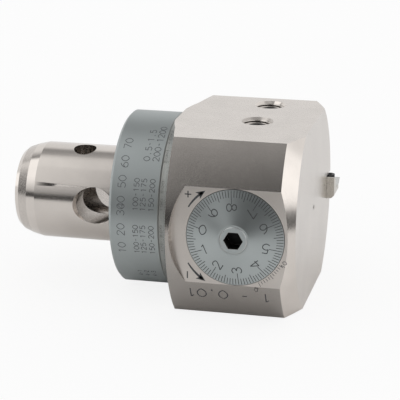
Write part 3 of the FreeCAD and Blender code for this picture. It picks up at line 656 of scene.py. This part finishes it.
def mark_sleeve():
    """Plain numbers round the sleeve, written upwards."""
    marks = Marks(on_sleeve)
    # Text, distance of its foot along the tool axis, start angle, height.
    rows = [
        ("10 20 30", 6.2, -23.5, 2.8), ("40 50 60 70", 6.2, 8.0, 2.8),
        ("100-150", 11.2, 7.5, 1.9), ("125-175", 13.9, 7.5, 1.9), ("150-200", 17.0, 7.5, 1.9),
        ("100-150", 11.2, -23.0, 1.9), ("125-175", 13.9, -23.0, 1.9), ("150-200", 17.0, -23.0, 1.9),
        ("4-1", 10.4, -48.0, 1.6), ("4-2", 12.9, -48.0, 1.6), ("4-3", 15.6, -48.0, 1.6),
        ("0.5-1.5", 13.8, 40.5, 2.3), ("200-1200", 17.2, 40.5, 2.3)]
    for text, base, degrees, height in rows:
        start = (base * MM, math.radians(degrees) * SLEEVE_R)
        marks.text(text, start, (0, 1), (-1, 0), height * MM, 0.26 * MM)
    marks.seat("sleeve_numbers", "ink_fine", "head", "anodised_sleeve")


def mark_barrel():
    """Plain number under the dial, to be read with the head upside down."""
    marks = Marks(on_barrel)
    start = (61.0 * MM, -math.radians(27.2) * BARREL_R)
    marks.text("1 - 0.01", start, (-1, 0), (0, -1), 4.3 * MM, 0.42 * MM)
    marks.seat("barrel_number", "ink", "head", "ground_steel")


# --- studio -------------------------------------------------------------------

class World:
    """World nodes that read the direction of the ray."""

    def __init__(self):
        world = bpy.data.worlds.new("studio")
        bpy.context.scene.world = world
        world.use_nodes = True
        world.cycles.sampling_method = "NONE"
        self.nodes, self.links = world.node_tree.nodes, world.node_tree.links
        self.nodes.clear()
        coords = self.nodes.new("ShaderNodeTexCoord").outputs["Generated"]
        split = self.nodes.new("ShaderNodeSeparateXYZ")
        self.links.new(coords, split.inputs[0])
        self.x, self.y, self.z = split.outputs

    def step(self, value, start, end, low=0.0, high=1.0):
        """Smooth change from low at start to high at end."""
        node = self.nodes.new("ShaderNodeMapRange")
        node.interpolation_type = "SMOOTHSTEP"
        backwards = start > end
        edges = (end, start) if backwards else (start, end)
        levels = (high, low) if backwards else (low, high)
        for socket, number in zip(("From Min", "From Max", "To Min", "To Max"), edges + levels):
            node.inputs[socket].default_value = number
        self.links.new(value, node.inputs["Value"])
        return node.outputs[0]

    def math(self, operation, a, b):
        node = self.nodes.new("ShaderNodeMath")
        node.operation = operation
        for socket, value in zip(node.inputs, (a, b)):
            if isinstance(value, (int, float)):
                socket.default_value = value
            else:
                self.links.new(value, socket)
        return node.outputs[0]

    def card(self, level, *factors):
        """A soft panel of light: its level where all its factors are 1."""
        out = level
        for factor in factors:
            out = self.math("MULTIPLY", out, factor)
        return out


def make_world():
    """White for the camera; for gloss a soft room with panels; even light for all else."""
    world = World()
    x, y, z = world.x, world.y, world.z
    front = world.step(y, 0.28, 0.12)
    up = world.math("MAXIMUM", z, 0.0)
    room = world.math("ADD", 0.06, world.math("MULTIPLY", 0.55, world.math("POWER", up, 3.0)))
    wall = world.card(0.92, world.step(y, 0.1, 0.4), world.step(z, 0.86, 0.62))
    left_soft = world.card(world.step(z, -0.1, 0.6, 0.45, 1.3), front, world.step(z, -0.02, 0.12),
                           world.step(x, -0.2, -0.36), world.step(x, -0.86, -0.78))
    ceiling = world.card(0.9, world.step(z, 0.86, 0.93), world.step(y, 0.42, 0.24),
                         world.step(x, -0.14, -0.3))
    left_card = world.card(1.35, world.step(x, -0.9, -0.95), world.step(z, -0.2, -0.1))
    right_card = world.card(1.3, world.step(x, 0.8, 0.9), world.step(z, -0.13, -0.03))
    right_soft = world.card(0.9, world.step(x, 0.35, 0.5), world.step(z, 0.1, 0.3))
    panels = room
    for panel in (wall, left_soft, ceiling, left_card, right_card, right_soft):
        panels = world.math("MAXIMUM", panels, panel)
    path = world.nodes.new("ShaderNodeLightPath").outputs
    gloss, even, white = [world.nodes.new("ShaderNodeBackground") for _ in range(3)]
    world.links.new(panels, gloss.inputs["Color"])
    even.inputs["Color"].default_value = (0.9, 0.9, 0.9, 1)
    white.inputs["Color"].default_value = (1, 1, 1, 1)
    first, second = [world.nodes.new("ShaderNodeMixShader") for _ in range(2)]
    output = world.nodes.new("ShaderNodeOutputWorld")
    world.links.new(path["Is Glossy Ray"], first.inputs[0])
    world.links.new(even.outputs[0], first.inputs[1])
    world.links.new(gloss.outputs[0], first.inputs[2])
    world.links.new(path["Is Camera Ray"], second.inputs[0])
    world.links.new(first.outputs[0], second.inputs[1])
    world.links.new(white.outputs[0], second.inputs[2])
    world.links.new(second.outputs[0], output.inputs[0])


def make_floor():
    """Sheet of white paper under the head; it shows white and keeps the head's shadow."""
    left, right, near, far = -1.2, 0.215, -0.215, 1.5
    height = FLOOR_Z - 0.05 * MM
    corners = [(left, near, height), (right, near, height), (right, far, height),
               (left, far, height)]
    mesh = bpy.data.meshes.new("floor")
    mesh.from_pydata(corners, [], [(0, 1, 2, 3)])
    floor = bpy.data.objects.new("floor", mesh)
    bpy.context.collection.objects.link(floor)
    paper = Shader("white_paper", (0.93, 0.93, 0.93), roughness=0.9)
    fibre = paper.noise(900, detail=3)
    paper.bump(fibre, 0.2, 2e-5)
    glow = paper.node("Emission")
    glow.inputs["Strength"].default_value = 1.0
    path = paper.node("LightPath").outputs
    share = paper.node("Math", operation="MULTIPLY")
    share.inputs[1].default_value = 0.85
    paper.links.new(path["Is Camera Ray"], share.inputs[0])
    mix = paper.node("MixShader")
    paper.links.new(share.outputs[0], mix.inputs[0])
    paper.links.new(paper.surface.outputs[0], mix.inputs[1])
    paper.links.new(glow.outputs[0], mix.inputs[2])
    paper.links.new(mix.outputs[0], paper.nodes["Material Output"].inputs[0])
    mesh.materials.append(paper.material)


# --- build --------------------------------------------------------------------

NODE_FINISH = {
    "data_sleeve": "sleeve", "dial_ring": "dial", "adjusting_screw": "screw",
    "thrust_washer_outer": "hardened", "thrust_washer_inner": "hardened", "disc_spring": "spring",
    "retaining_ring": "hardened", "journal_bush": "bronze", "carrier_nut": "bronze",
    "dial_seal": "rubber", "carrier_wiper": "rubber", "tool_carrier": "carrier",
    "clamp_screw_dial_side": "oxide", "clamp_screw_insert_side": "oxide",
    "clamp_pad_dial_side": "brass", "clamp_pad_insert_side": "brass",
    "guide_screw": "oxide", "guide_lock_screw": "oxide", "insert_holder": "holder",
    "holder_bolts": "oxide", "holder_dowels": "hardened", "cutting_insert": "carbide",
    "insert_screw": "oxide", "head_body": "barrel",
}


def finish_nodes():
    for name, finish in NODE_FINISH.items():
        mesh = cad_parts[name].data
        mesh.materials.clear()
        mesh.materials.append(FINISH[finish])


make_camera()
make_world()
make_floor()
finish_nodes()
make_head()
make_adjusting_screw()
make_clamps()
mark_dial()
mark_dial_flat()
mark_sleeve()
mark_barrel()

bpy.context.scene.view_settings.view_transform = "Standard"
